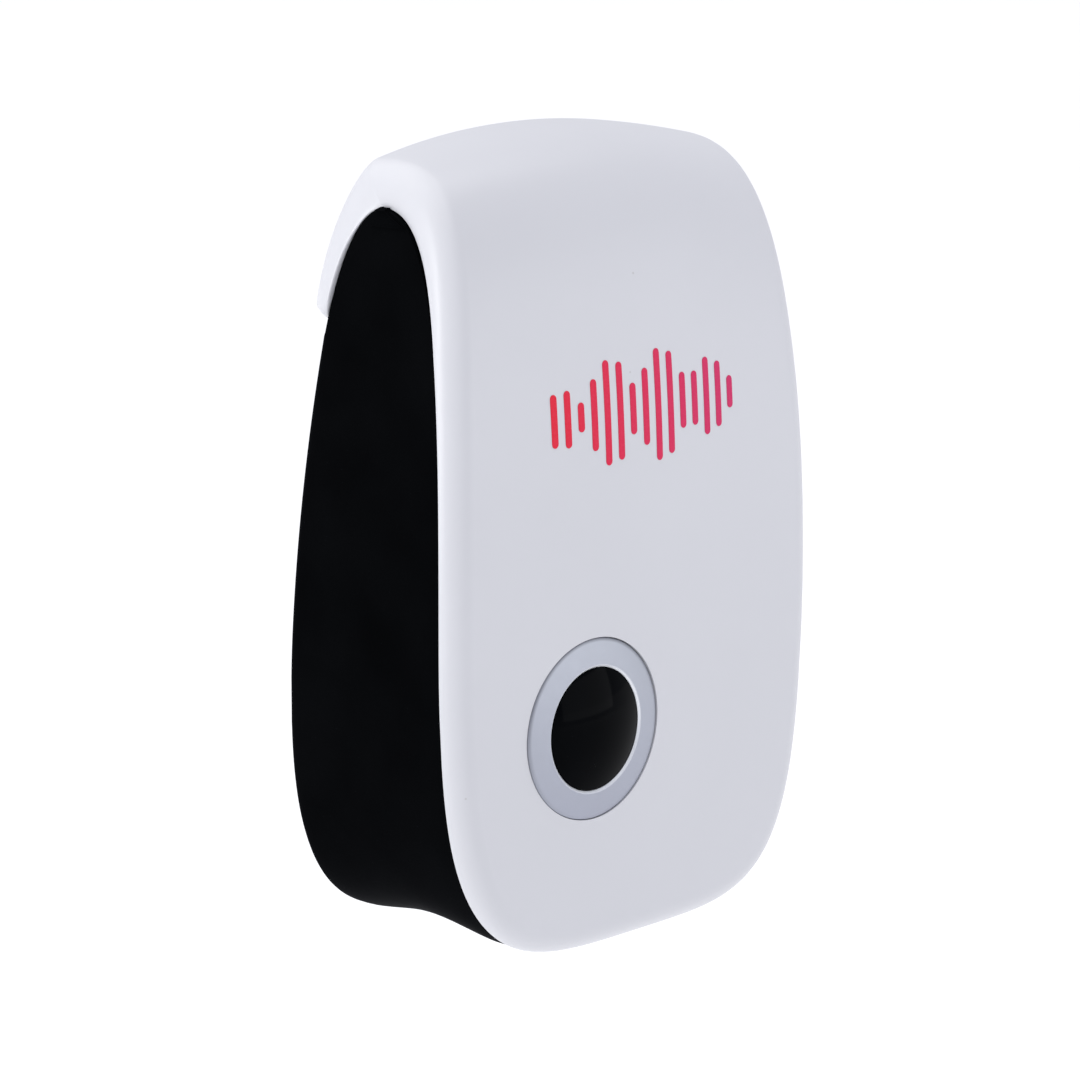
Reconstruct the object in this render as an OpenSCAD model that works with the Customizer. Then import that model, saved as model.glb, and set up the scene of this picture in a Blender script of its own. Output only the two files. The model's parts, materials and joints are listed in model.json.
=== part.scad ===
// Plug-in ultrasonic pest repeller, in millimetres.
// A white front cover bends over the top of a black rear housing. A tinted dome in a silver
// bezel on the front hides the ultrasonic transducer, and a two-blade mains plug stands out
// of the back. Modules work with z measured up from the cover's lower tip and y measured from
// the wall; seated() then puts the origin midway between the plug's blades.
// +X is the viewer's right, +Y goes into the wall, +Z is up.

/* [Body] */
// Height from the cover's lower tip to the top of its arch
body_h = 105; // [104:0.5:107]
// Greatest width, across the cover
body_w = 68; // [67:0.5:70]
// Wall thickness of the cover and of the housing
wall = 2; // [1.8:0.1:2.2]
// How far the housing's sides stand in from the cover's edge
reveal = 0.5; // [0.3:0.1:0.8]
// How far the housing's underside rises at the middle of its depth
waist = 1.6; // [0.5:0.1:2.5]

/* [Bezel and dome] */
// Bezel centre, measured to the viewer's right of the middle
bezel_x = -9.8; // [-10.5:0.1:-9]
// Height of the bezel's centre above the lower tip
bezel_z = 29.5; // [29:0.5:31]
// Outer radius of the bezel ring
bezel_r = 11.85; // [11.5:0.05:12.2]
// Radius of the dome
dome_r = 7.95; // [7.8:0.05:8]
// Rise of the dome from its edge to its middle
dome_rise = 1.5; // [1.2:0.1:2.4]

/* [Printed mark] */
// Width over all the bars
mark_w = 34; // [24:1:38]
// Height of the tallest bar
mark_h = 15; // [10:1:18]
// Height of the mark's centre above the lower tip
mark_z = 70; // [66:0.5:72]

/* [Circuit board] */
// Board width
board_w = 38; // [37:0.5:39]
// Board height
board_h = 54; // [53:0.5:56]
// Height of the board's centre above the lower tip
board_z = 52; // [51.5:0.5:52.5]
// Board thickness
board_t = 1.6; // [1.2:0.2:1.6]

/* [Mains plug] */
// Height of the plug's centre above the lower tip
plug_z = 50; // [49.5:0.5:51]
// Length of the blades outside the plug's face
blade_len = 17.5; // [16:0.5:18]
// Distance between the blades' centres
blade_pitch = 12.7; // [12.7:0.1:13]
// Height of a blade's section
blade_w = 6.35; // [6.2:0.05:6.4]
// Thickness of a blade
blade_t = 1.5; // [1.4:0.1:1.6]
// Radius of the plug base where it touches the wall
plug_r = 15; // [14.5:0.5:15]

/* [Hidden] */
$fn = 48;
tall = body_h / 105;
gap = 0.15;

// ---- Side view of the cover's outer face: three Bezier curves of [y, z] ----
front_curve = [[-36.2, 0], [-34.1, 28 * tall], [-37.3, 54.2 * tall], [-33.9, 82 * tall]];
crown_curve = [[-33.9, 82 * tall], [-31.6, 100.6 * tall], [-25.2, body_h], [-13.7, body_h]];
tail_curve = [[-13.7, body_h], [-8.2, body_h], [-4, 91.6 * tall], [-5.2, 80 * tall]];
// Side view of the rim's edge, which the housing's cheeks meet, run by the same steps
rim_front_curve = [[-32.5, 0], [-30.2, 28 * tall], [-33.7, 54.2 * tall], [-29.2, 79 * tall]];
rim_crown_curve = [[-29.2, 79 * tall], [-26.7, 93 * tall], [-21.9, 96.2 * tall], [-17.9, 96.2 * tall]];
rim_tail_curve = [[-17.9, 96.2 * tall], [-17.2, 96.2 * tall], [-12.4, 95.6 * tall], [-9.45, 80.2 * tall]];
curve_steps = 24;

function bezier(p, t) =
    pow(1 - t, 3) * p[0] + 3 * t * pow(1 - t, 2) * p[1] + 3 * t * t * (1 - t) * p[2] + pow(t, 3) * p[3];

function joined(curves) = [
    curves[0][0],
    for (c = curves) for (i = [1:curve_steps]) bezier(c, i / curve_steps)
];
side_curve = joined([front_curve, crown_curve, tail_curve]);
rim_curve = joined([rim_front_curve, rim_crown_curve, rim_tail_curve]);
last_point = len(side_curve) - 1;
function step_length(i) = i < last_point ? norm(side_curve[i + 1] - side_curve[i]) : 0;
// Length along the curve at each of its points
run = [for (i = 0, s = 0; i <= last_point; s = s + step_length(i), i = i + 1) s];
y_by_run = [for (i = [0:last_point]) [run[i], side_curve[i][0]]];
z_by_run = [for (i = [0:last_point]) [run[i], side_curve[i][1]]];
rim_y_by_run = [for (i = [0:last_point]) [run[i], rim_curve[i][0]]];
rim_z_by_run = [for (i = [0:last_point]) [run[i], rim_curve[i][1]]];
arch_run = run[2 * curve_steps];
tail_run = run[last_point];

// The face and the rim's edge at a length s along the side view, and the face's outward normal
function face_at(s) = [lookup(s, y_by_run), lookup(s, z_by_run)];
function rim_at(s) = [lookup(s, rim_y_by_run), lookup(s, rim_z_by_run)];
function face_normal(s) =
    let (d = face_at(min(s + 1.5, tail_run)) - face_at(max(s - 1.5, 0)))
    [-d[1], d[0]] / norm(d);

// ---- Widths and crown of the cover ----
belly_z = 41.7 * tall;
function half_width(z) = body_w / 2 - (z < belly_z ? 6.7 : 2.85) * pow((z - belly_z) / 50, 2);
function past_arch(s) = max(0, (s - arch_run) / (tail_run - arch_run));
// How much further in the face lies at its edges than at its middle
function crown_drop(s) =
    let (t = past_arch(s))
    t == 0 ? 1 + 2.8 * pow(s / arch_run, 4) : 0.8 + 3 * (1 - t * t * (3 - 2 * t));
// Width of the rounding between the face and the rim's edge
edge_r = 3.5;

// ---- Outline of the cover laid flat: [x, length along the side view] ----
foot_len = 34.7;
foot_power = 4.2;
foot_steps = 12;
tail_len = 5;
tail_power = 4.2;
tail_steps = 6;
side_steps = 32;
side_len = tail_run - tail_len - foot_len;
function rounded(a, power) = pow(a, 2 / power);
half_outline = [
    for (i = [0:foot_steps - 1])
        let (a = 90 - 90 * i / foot_steps, s = foot_len * (1 - rounded(sin(a), foot_power)))
        [half_width(face_at(s)[1]) * rounded(cos(a), foot_power), s],
    for (i = [0:side_steps])
        let (s = foot_len + side_len * i / side_steps)
        [half_width(face_at(s)[1]), s],
    for (i = [1:tail_steps])
        let (a = 90 * i / tail_steps, s = tail_run - tail_len * (1 - rounded(sin(a), tail_power)))
        [half_width(face_at(s)[1]) * (i == tail_steps ? 0 : rounded(cos(a), tail_power)), s]
];

// A closed ring made from the right half of an outline, which starts and ends on the middle line
function mirror_x(p) = [-p[0], p[1]];
function ring_point(half, j) =
    let (n = len(half) - 1, k = (j + 2 * n) % (2 * n))
    k <= n ? half[k] : mirror_x(half[2 * n - k]);
function ring_normal(half, j) =
    let (d = ring_point(half, j + 1) - ring_point(half, j - 1))
    [d[1], -d[0]] / norm(d);
function inset_point(half, j, inset) = ring_point(half, j) - inset * ring_normal(half, j);

// Rows of points across a flat outline set in by the given amount, leaving out its own points
function fill_points(half, inset, columns) =
    let (n = len(half) - 1)
    [for (i = [1:n - 1]) for (c = [1:1:columns - 1])
        let (p = inset_point(half, i, inset))
        [p[0] * (1 - 2 * c / columns), p[1]]];
// Index of the point in row i and column c, when the ring starts at a and its fill starts at f
function fill_index(n, columns, a, f, i, c) =
    c == 0 || i == 0 || i == n ? a + i : c == columns ? a + 2 * n - i : f + (i - 1) * (columns - 1) + c - 1;
function fill_faces(n, columns, a, f) = [
    for (i = [0:n - 1]) for (c = [0:columns - 1])
        let (
            p = fill_index(n, columns, a, f, i, c),
            q = fill_index(n, columns, a, f, i + 1, c),
            r = fill_index(n, columns, a, f, i + 1, c + 1),
            t = fill_index(n, columns, a, f, i, c + 1)
        )
        each [if (p != t) [p, t, q], if (q != r) [t, r, q]]
];
function band_faces(count, a, b) = [
    for (j = [0:count - 1]) let (k = (j + 1) % count)
        each [[a + j, a + k, b + j], [a + k, b + k, b + j]]
];
function flipped(faces) = [for (f = faces) [f[0], f[2], f[1]]];

// ---- The cover's skins ----
// The share of its full depth that the rim keeps where the tail turns across the back
function tail_share(p) =
    let (t = min(1, (half_width(face_at(p[1])[1]) - abs(p[0])) / 4))
    p[1] < arch_run ? 1 : 1 - 0.58 * t * t * (3 - 2 * t);
// The crowned face at x and a length s, as [y, z], set in by a depth
function crowned(x, s, depth) =
    let (p = face_at(s))
    p - face_normal(s) * (depth + crown_drop(s) * pow(x / half_width(p[1]), 2));
function on_face(x, s, depth) = let (c = crowned(x, s, depth)) [x, c[0], c[1]];
ring_count = 2 * (len(half_outline) - 1);
// One ring of the cover: q runs from 0 on the rim's edge to 90 where the rounding meets the face
function cover_ring(q, skin) = [
    for (j = [0:ring_count - 1])
        let (
            p = ring_point(half_outline, j),
            e = inset_point(half_outline, j, skin + (edge_r - skin) * (1 - cos(q))),
            top = crowned(p[0], p[1], 0),
            rim = top + (rim_at(p[1]) - top) * tail_share(p),
            c = crowned(e[0], e[1], skin) + (rim - crowned(p[0], p[1], skin)) * (1 - sin(q))
        )
        [e[0], c[0], c[1]]
];
module cover_shell() {
    columns = 8;
    outer = [for (q = [0:22.5:90]) cover_ring(q, 0)];
    inner = [for (q = [0:45:90]) cover_ring(q, wall)];
    fill = fill_points(half_outline, edge_r, columns);
    points = [
        for (r = outer) each r,
        for (r = inner) each r,
        for (p = fill) on_face(p[0], p[1], 0),
        for (p = fill) on_face(p[0], p[1], wall)
    ];
    n = ring_count / 2;
    inner_start = 5 * ring_count;
    fill_start = 8 * ring_count;
    faces = concat(
        flipped([for (k = [0:3]) each band_faces(ring_count, k * ring_count, (k + 1) * ring_count)]),
        fill_faces(n, columns, 4 * ring_count, fill_start),
        [for (k = [0:1]) each band_faces(
            ring_count, inner_start + k * ring_count, inner_start + (k + 1) * ring_count)],
        flipped(fill_faces(n, columns, inner_start + 2 * ring_count, fill_start + len(fill))),
        band_faces(ring_count, 0, inner_start)
    );
    polyhedron(points, faces);
}

// ---- The housing: the front outline carried back, inside a side view ----
// Its back face curves gently towards the front as it rises
function back_y(z) = -1.64 - 0.002 * z - 0.00103 * z * z;
housing_half = [
    for (i = [0:foot_steps - 1])
        let (a = 90 - 90 * i / foot_steps, z = foot_len * (1 - rounded(sin(a), foot_power)))
        [half_width(z) * rounded(cos(a), foot_power), z],
    for (i = [0:10])
        let (z = foot_len + (body_h - 1 - foot_len) * i / 10)
        [half_width(z), z],
    [0, body_h - 1]
];
// Near the lower tip the housing comes out almost to the cover's edge
foot_reveal = 0.1;
function closer_at(z) = let (t = max(0, 1 - z / 14)) (reveal - foot_reveal) * t * t * (3 - 2 * t);
module front_prism(inset, y0, y1) {
    outline = [
        for (j = [0:2 * (len(housing_half) - 1) - 1])
            inset_point(housing_half, j, inset - closer_at(ring_point(housing_half, j)[1]))
    ];
    translate([0, y1, 0]) rotate([90, 0, 0]) linear_extrude(height = y1 - y0) polygon(outline);
}
module side_prism(outline) {
    rotate([90, 0, 90]) linear_extrude(height = body_w + 20, center = true) polygon(outline);
}
// Points down the back face, set in by the given amount
function back_line(z_top, z_low, in) = [
    for (i = [0:12]) let (z = z_top + (z_low - z_top) * i / 12) [back_y(z) - in, z]
];
// The side view of the cheeks, which stop a small gap short of the rim's edge
cheek_last = last_point - 2;
cheek_line = [
    for (i = [0:cheek_last])
        let (d = rim_curve[i + 1] - rim_curve[max(0, i - 1)])
        rim_curve[i] + [d[1], -d[0]] / norm(d) * 0.1
];
cheek_step_z = cheek_line[cheek_last][1] - 3.2;
cheek_view = concat([[cheek_line[0][0], -5]], cheek_line, back_line(cheek_step_z, -5, 0));
lip_top = 88 * tall;
lip_view = concat(back_line(lip_top, 60, 0), [for (i = [12:-1:0]) back_line(lip_top, 60, wall)[i]]);
// A saddle along x that hollows the underside, rising by the waist at the middle
saddle_y = -17.1;
saddle_span = 25;
module saddle(grow) {
    r = (pow(saddle_span / 2, 2) + waist * waist) / (2 * waist);
    translate([0, saddle_y, waist - r]) rotate([0, 90, 0])
        cylinder(h = body_w + 30, r = r + grow, center = true, $fn = 180);
}

// ---- Placing helpers ----
module seated() translate([0, 0, -plug_z]) children();
module rod(x, z, y0, y1, r) translate([x, y0, z]) rotate([-90, 0, 0]) cylinder(h = y1 - y0, r = r);
// Local z points out of the front face, from the bezel's outer edge
bezel_y = -35.15;
// Heights of the bezel's inner lip and of the dome's edge above that
lip_rise = 0.6;
dome_edge = 0.45;
module on_bezel() translate([bezel_x, bezel_y, bezel_z]) rotate([90, 0, 0]) children();
// Local z points from the board's front face towards the cover
board_y = -17.6;
module on_board(x, z) translate([x, board_y, z]) rotate([90, 0, 0]) children();
module tube(r_out, r_in, z0, z1) {
    translate([0, 0, z0])
        difference() {
            cylinder(h = z1 - z0, r = r_out);
            translate([0, 0, -1]) cylinder(h = z1 - z0 + 2, r = r_in);
        }
}
// A wire of radius r swept along a Bezier route
module wire(route, r) {
    steps = 14;
    sides = 8;
    rings = [
        for (i = [0:steps])
            let (
                p = bezier(route, i / steps),
                d = bezier(route, i / steps + 0.01) - bezier(route, i / steps - 0.01),
                u = cross(d, [1, 0, 0]) / norm(cross(d, [1, 0, 0])),
                v = cross(d, u) / norm(d)
            )
            [for (k = [0:sides - 1]) p + r * (cos(360 * k / sides) * u + sin(360 * k / sides) * v)]
    ];
    faces = concat(
        [[for (k = [0:sides - 1]) k]],
        flipped([for (i = [0:steps - 1]) each band_faces(sides, i * sides, (i + 1) * sides)]),
        [[for (k = [sides - 1:-1:0]) steps * sides + k]]
    );
    polyhedron([for (ring = rings) each ring], faces);
}

// ---- Screws and posts ----
case_screw_at = [[-24, 20], [24, 20], [-24, 72], [24, 72]];
split_y = -16;
case_screw_r = 1.3;
case_seat_y = -13;
case_screw_tip = -28;
board_screw_at = [[-16, board_z - 15], [16, board_z - 24], [-16, board_z + 24], [16, board_z + 24]];
board_screw_r = 1.1;
module pan_screw(r, head_r, head_h, length) {
    difference() {
        cylinder(h = head_h, r = head_r);
        for (a = [0, 90])
            rotate([0, 0, a]) translate([-0.3, -0.6 * head_r, head_h - 0.7]) cube([0.6, 1.2 * head_r, 1]);
    }
    translate([0, 0, 1.2 - length]) cylinder(h = length - 1.2, r = r);
    translate([0, 0, -length]) cylinder(h = 1.2, r1 = 0.3, r2 = r);
}

// ---- Casing ----
module front_cover() {
    color("whitesmoke") seated() difference() {
        union() {
            cover_shell();
            rod(bezel_x, bezel_z, -34.2, -31.8, 14);
            for (p = case_screw_at)
                rod(p[0], p[1], p[1] < 50 ? -33.9 : -33.1, split_y - gap, 3.4);
        }
        rod(bezel_x, bezel_z, -40, bezel_y + 0.85, bezel_r + gap);
        rod(bezel_x, bezel_z, -40, -20, 10);
        for (p = case_screw_at)
            rod(p[0], p[1], case_screw_tip - 1, split_y + 1, case_screw_r + 0.02);
    }
}

module rear_housing() {
    color([0.03, 0.03, 0.035]) seated() difference() {
        union() {
            difference() {
                intersection() {
                    front_prism(reveal, -34, 3);
                    side_prism(cheek_view);
                }
                difference() {
                    intersection() {
                        front_prism(reveal + wall, -42, 3);
                        side_prism(concat([[-42, 110]], back_line(110, -5, wall), [[-42, -5]]));
                    }
                    saddle(wall);
                }
                saddle(0);
            }
            intersection() {
                front_prism(reveal + wall + 4, -34, 3);
                side_prism(lip_view);
            }
            intersection() {
                side_prism(concat([[-42, 110]], back_line(110, -5, wall / 2), [[-42, -5]]));
                union() {
                    rod(0, plug_z, -8.7, 1, plug_r + 3.2);
                    for (p = case_screw_at) rod(p[0], p[1], split_y, 1, 4.4);
                    for (p = board_screw_at) rod(p[0], p[1], board_y + board_t, 1, 2.8);
                }
            }
        }
        rod(0, plug_z, -20, 2, plug_r + 0.1);
        for (p = case_screw_at) {
            rod(p[0], p[1], -20, 2, case_screw_r + gap);
            rod(p[0], p[1], case_seat_y, 2, 2.9);
        }
        for (p = board_screw_at)
            rod(p[0], p[1], -20, board_y + board_t + 5, board_screw_r + 0.02);
    }
}

module housing_screws() {
    color("silver") seated()
        for (p = case_screw_at)
            translate([p[0], case_seat_y, p[1]]) rotate([-90, 0, 0])
                pan_screw(case_screw_r, 2.6, 1.8, case_seat_y - case_screw_tip);
}

// ---- Printed mark and label ----
bars = 15;
function bar_height(i) =
    let (a = (i - (bars - 1) / 2) / ((bars - 1) / 2))
    mark_h * (0.3 + 0.7 * abs(cos(i * 137))) * (1 - 0.55 * a * a);
// A flat strip with round ends, curved to lie on the cover
module face_bar(x, z, width, height, lift, thick) {
    rows = 10;
    r = width / 2;
    grid = [
        for (k = [0:rows])
            let (
                a = -cos(180 * k / rows),
                s = z + a * height / 2,
                e = max(0, abs(a) * height / 2 - (height / 2 - r)),
                w = max(0.05, sqrt(max(0, r * r - e * e)))
            )
            for (side = [-1, 1]) [x + side * w, s]
    ];
    count = 2 * (rows + 1);
    points = [
        for (p = grid) on_face(p[0], p[1], -lift - thick),
        for (p = grid) on_face(p[0], p[1], -lift)
    ];
    faces = [
        for (k = [0:rows - 1])
            let (a = 2 * k, b = a + count)
            each [
                [a, a + 2, a + 1], [a + 1, a + 2, a + 3], [b, b + 1, b + 2], [b + 1, b + 3, b + 2],
                [a, b, b + 2], [a, b + 2, a + 2], [a + 1, a + 3, b + 3], [a + 1, b + 3, b + 1]
            ],
        [0, 1, count + 1], [0, count + 1, count],
        [count - 2, 2 * count - 2, 2 * count - 1], [count - 2, 2 * count - 1, count - 1]
    ];
    polyhedron(points, faces);
}
module front_print() {
    color("crimson") seated()
        for (i = [0:bars - 1])
            face_bar((i - (bars - 1) / 2) * (mark_w - 1.1) / (bars - 1), mark_z, 1.1, bar_height(i), 0.04, 0.06);
}

module rating_label() {
    z0 = 9;
    z1 = 29;
    rows = 8;
    outline = concat(
        [for (k = [0:rows]) let (z = z0 + (z1 - z0) * k / rows) [back_y(z) + 0.03, z]],
        [for (k = [rows:-1:0]) let (z = z0 + (z1 - z0) * k / rows) [back_y(z) + 0.13, z]]
    );
    color("gainsboro") seated()
        rotate([90, 0, 90]) linear_extrude(height = 32, center = true) polygon(outline);
}

// ---- Bezel, dome and transducer, with local z out of the front ----
module bezel_ring() {
    profile = [
        [bezel_r, -0.85], [bezel_r, -0.12], [bezel_r - 0.15, 0], [dome_r + 0.35, lip_rise],
        [dome_r + 0.08, lip_rise - 0.2], [dome_r + 0.08, -0.7], [8.75, -0.7], [8.75, -4], [9.9, -4], [9.9, -0.85]
    ];
    color("silver") seated() on_bezel() rotate_extrude($fn = 96) polygon(profile);
}
// Height of the dome's surface at radius r, before its wall is taken off
function dome_z(r) =
    let (ball = (dome_r * dome_r + dome_rise * dome_rise) / (2 * dome_rise))
    dome_edge + sqrt(ball * ball - r * r) - ball + dome_rise;
module dome_lens() {
    skin = 0.9;
    inner_r = dome_r - skin;
    profile = concat(
        [for (k = [0:12]) let (r = dome_r * k / 12) [r, dome_z(r)]],
        [[dome_r, -0.75], [8.6, -0.75], [8.6, -1.55], [inner_r, -1.55]],
        [for (k = [12:-1:0]) let (r = inner_r * k / 12) [r, dome_z(r) - skin]]
    );
    color([0.05, 0.05, 0.06]) seated() on_bezel() rotate_extrude($fn = 96) polygon(profile);
}
module lens_retainer() color("dimgray") seated() on_bezel() tube(8.65, 8.05, -3.9, -1.6);
module light_guide() color([0.85, 0.95, 1]) seated() on_bezel() tube(7.95, 6.6, -7, -1.65);
module transducer_gasket() color([0.15, 0.15, 0.15]) seated() on_bezel() tube(6.2, 4.6, -1.9, -0.15);
module transducer_can() {
    color("lightsteelblue") seated() on_bezel() difference() {
        translate([0, 0, -9.8]) cylinder(h = 7.85, r = 6.35);
        translate([0, 0, -10]) cylinder(h = 7.65, r = 5.95);
        translate([0, 0, -3]) cylinder(h = 2, r = 4.3);
    }
}
module transducer_cone() {
    profile = [[0, -6.4], [1.2, -6.4], [4.2, -3.5], [4.5, -3.5], [1.6, -6.7], [0, -6.7]];
    color("gainsboro") seated() on_bezel() rotate_extrude() polygon(profile);
}
module piezo_disc() color("goldenrod") seated() on_bezel() translate([0, 0, -7.45]) cylinder(h = 0.7, r = 4.2);
pin_spread = 2.6;
module transducer_base() {
    color("black") seated() on_bezel() difference() {
        translate([0, 0, -9.8]) cylinder(h = 2.2, r = 5.9);
        for (x = [-1, 1]) translate([x * pin_spread, 0, -10]) cylinder(h = 3, r = 0.42);
    }
}
module transducer_pins() {
    color("silver") seated() on_bezel()
        for (x = [-1, 1]) translate([x * pin_spread, 0, -12]) cylinder(h = 4.35, r = 0.4);
}
// Leads from the transducer's pins down to the board's front face
module transducer_lead(side) {
    x = bezel_x + side * pin_spread;
    y = bezel_y + 12.05;
    wire([[x, y, bezel_z], [x, y + 3, bezel_z], [x + side, board_y - 3, bezel_z + 5],
        [x + side, board_y - 0.05, bezel_z + 5]], 0.5);
}
module transducer_lead_red() color("firebrick") seated() transducer_lead(1);
module transducer_lead_black() color([0.1, 0.1, 0.1]) seated() transducer_lead(-1);

// ---- Circuit board and what stands on it ----
mains_cap_at = [7, 68];
smooth_cap_at = [-11, 67];
choke_at = [9, 45];
bridge_at = [-12, 51];
ic_at = [-2, 53];
transistor_at = [[5, 32], [12, 32]];
fuse_at = [-5, 76.5];
resistor_at = [for (i = [0:4]) [-15 + 2.6 * i, 42]];
ceramic_at = [[16, 54], [16, 39], [1, 39.5]];
led_at = [for (side = [-1, 1]) [bezel_x + 8.2 * side, bezel_z]];
lead_r = 0.35;
// Where leads pass through the board
lead_holes = concat(
    [for (x = [-6, 6]) mains_cap_at + [x, 0]],
    [for (x = [-1.25, 1.25]) smooth_cap_at + [x, 0]],
    [for (x = [-2.5, 2.5]) choke_at + [x, 0]],
    [for (x = [-3, -1, 1, 3]) bridge_at + [x, 0]],
    [for (p = transistor_at) for (x = [-1.27, 0, 1.27]) p + [x, 0]],
    [for (x = [-4.5, 4.5]) fuse_at + [x, 0]],
    [for (p = ceramic_at) for (z = [-1.25, 1.25]) p + [0, z]],
    [for (p = led_at) for (z = [-0.6, 0.6]) p + [0, z]]
);
module lead(x, z, length) on_board(x, z) translate([0, 0, -board_t - 1]) cylinder(h = board_t + 1 + length, r = lead_r);

module circuit_board() {
    color([0.75, 0.62, 0.35]) seated() difference() {
        translate([-board_w / 2, board_y, board_z - board_h / 2]) cube([board_w, board_t, board_h]);
        for (p = board_screw_at) rod(p[0], p[1], board_y - 1, board_y + board_t + 1, 1.4);
        for (p = lead_holes) rod(p[0], p[1], board_y - 1, board_y + board_t + 1, lead_r + 0.05, $fn = 24);
    }
}
module board_screws() {
    color("silver") seated()
        for (p = board_screw_at)
            translate([p[0], board_y - 0.02, p[1]]) rotate([90, 0, 0]) pan_screw(board_screw_r, 2.1, 1.4, 6);
}
module mains_capacitor() {
    color("gold") seated() {
        on_board(mains_cap_at[0], mains_cap_at[1]) translate([-8.5, -4.5, 0.3]) cube([17, 9, 13]);
        for (x = [-6, 6]) lead(mains_cap_at[0] + x, mains_cap_at[1], 0.4);
    }
}
module smoothing_capacitor() {
    color("navy") seated() {
        on_board(smooth_cap_at[0], smooth_cap_at[1]) {
            difference() {
                translate([0, 0, 0.4]) cylinder(h = 11.5, r = 4);
                tube(4.5, 3.75, 1.6, 2.2);
                for (a = [0, 90]) rotate([0, 0, a]) translate([-0.15, -2.6, 11.6]) cube([0.3, 5.2, 1]);
            }
        }
        for (x = [-1.25, 1.25]) lead(smooth_cap_at[0] + x, smooth_cap_at[1], 0.5);
    }
}
module choke_core() {
    profile = [[0, 0.4], [5, 0.4], [5, 1.9], [2.6, 1.9], [2.6, 8.4], [5, 8.4], [5, 9.9], [0, 9.9]];
    color([0.25, 0.25, 0.27]) seated() {
        on_board(choke_at[0], choke_at[1]) rotate_extrude() polygon(profile);
        for (x = [-2.5, 2.5]) lead(choke_at[0] + x, choke_at[1], 0.5);
    }
}
module choke_winding() {
    color("peru") seated() on_board(choke_at[0], choke_at[1]) {
        turns = 9;
        pitch = 6.3 / turns;
        for (i = [0:turns - 1])
            tube(4.4 - 0.1 * (i % 2), 2.65, 2 + i * pitch, 2 + (i + 1) * pitch - 0.02);
    }
}
module bridge_rectifier() {
    color([0.12, 0.12, 0.12]) seated() {
        on_board(bridge_at[0], bridge_at[1]) translate([-4.2, -1.5, 1]) cube([8.4, 3, 6.5]);
        for (x = [-3, -1, 1, 3]) lead(bridge_at[0] + x, bridge_at[1], 1.1);
    }
}
module control_ic() {
    color([0.1, 0.1, 0.1]) seated() on_board(ic_at[0], ic_at[1]) {
        difference() {
            translate([-1.95, -2.45, 0.15]) cube([3.9, 4.9, 1.45]);
            translate([0, 2.45, 1.2]) cylinder(h = 1, r = 0.5, $fn = 24);
        }
        for (side = [-1, 1]) for (i = [-1.5:1:1.5]) {
            translate([side > 0 ? 1.95 : -2.75, 1.27 * i - 0.2, 0.6]) cube([0.8, 0.4, 0.2]);
            translate([side > 0 ? 2.55 : -2.75, 1.27 * i - 0.2, 0.02]) cube([0.2, 0.4, 0.78]);
        }
    }
}
module drive_transistors() {
    color([0.15, 0.15, 0.15]) seated()
        for (p = transistor_at) {
            on_board(p[0], p[1]) intersection() {
                translate([0, 0, 2.5]) cylinder(h = 4.6, r = 2.4);
                translate([-3, -1.4, 2]) cube([6, 4, 6]);
            }
            for (x = [-1.27, 0, 1.27]) lead(p[0] + x, p[1], 2.6);
        }
}
module fusible_resistor() {
    color("steelblue") seated() {
        on_board(fuse_at[0], fuse_at[1]) {
            translate([-3.2, 0, 2]) rotate([0, 90, 0]) cylinder(h = 6.4, r = 1.2);
            translate([-4.5 - lead_r, 0, 2]) rotate([0, 90, 0]) cylinder(h = 9 + 2 * lead_r, r = lead_r);
        }
        for (x = [-4.5, 4.5]) lead(fuse_at[0] + x, fuse_at[1], 2);
    }
}
module resistors() {
    color([0.2, 0.2, 0.22]) seated()
        for (p = resistor_at)
            on_board(p[0], p[1]) translate([-0.62, -1, 0.03]) cube([1.25, 2, 0.55]);
}
module ceramic_capacitors() {
    color("chocolate") seated()
        for (p = ceramic_at) {
            on_board(p[0], p[1]) translate([-0.9, 0, 3.4]) rotate([0, 90, 0]) cylinder(h = 1.8, r = 2.4);
            for (z = [-1.25, 1.25]) lead(p[0], p[1] + z, 1.9);
        }
}
module indicator_leds() {
    led_top = board_y - bezel_y - 7.4;
    color("palegreen") seated()
        for (p = led_at) {
            on_board(p[0], p[1]) {
                translate([0, 0, led_top - 4]) cylinder(h = 3, r = 1.5);
                translate([0, 0, led_top - 4.6]) cylinder(h = 0.9, r = 1.7);
                translate([0, 0, led_top - 1]) sphere(r = 1.5);
            }
            for (z = [-0.6, 0.6]) lead(p[0], p[1] + z, led_top - 4.4);
        }
}
module solder_joints() {
    color("lightgray") seated()
        for (p = lead_holes)
            translate([p[0], board_y + board_t + 0.01, p[1]]) rotate([-90, 0, 0])
                difference() {
                    cylinder(h = 0.8, r1 = 0.58, r2 = 0.45, $fn = 24);
                    translate([0, 0, -1]) cylinder(h = 3, r = lead_r + 0.02, $fn = 24);
                }
}

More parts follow.
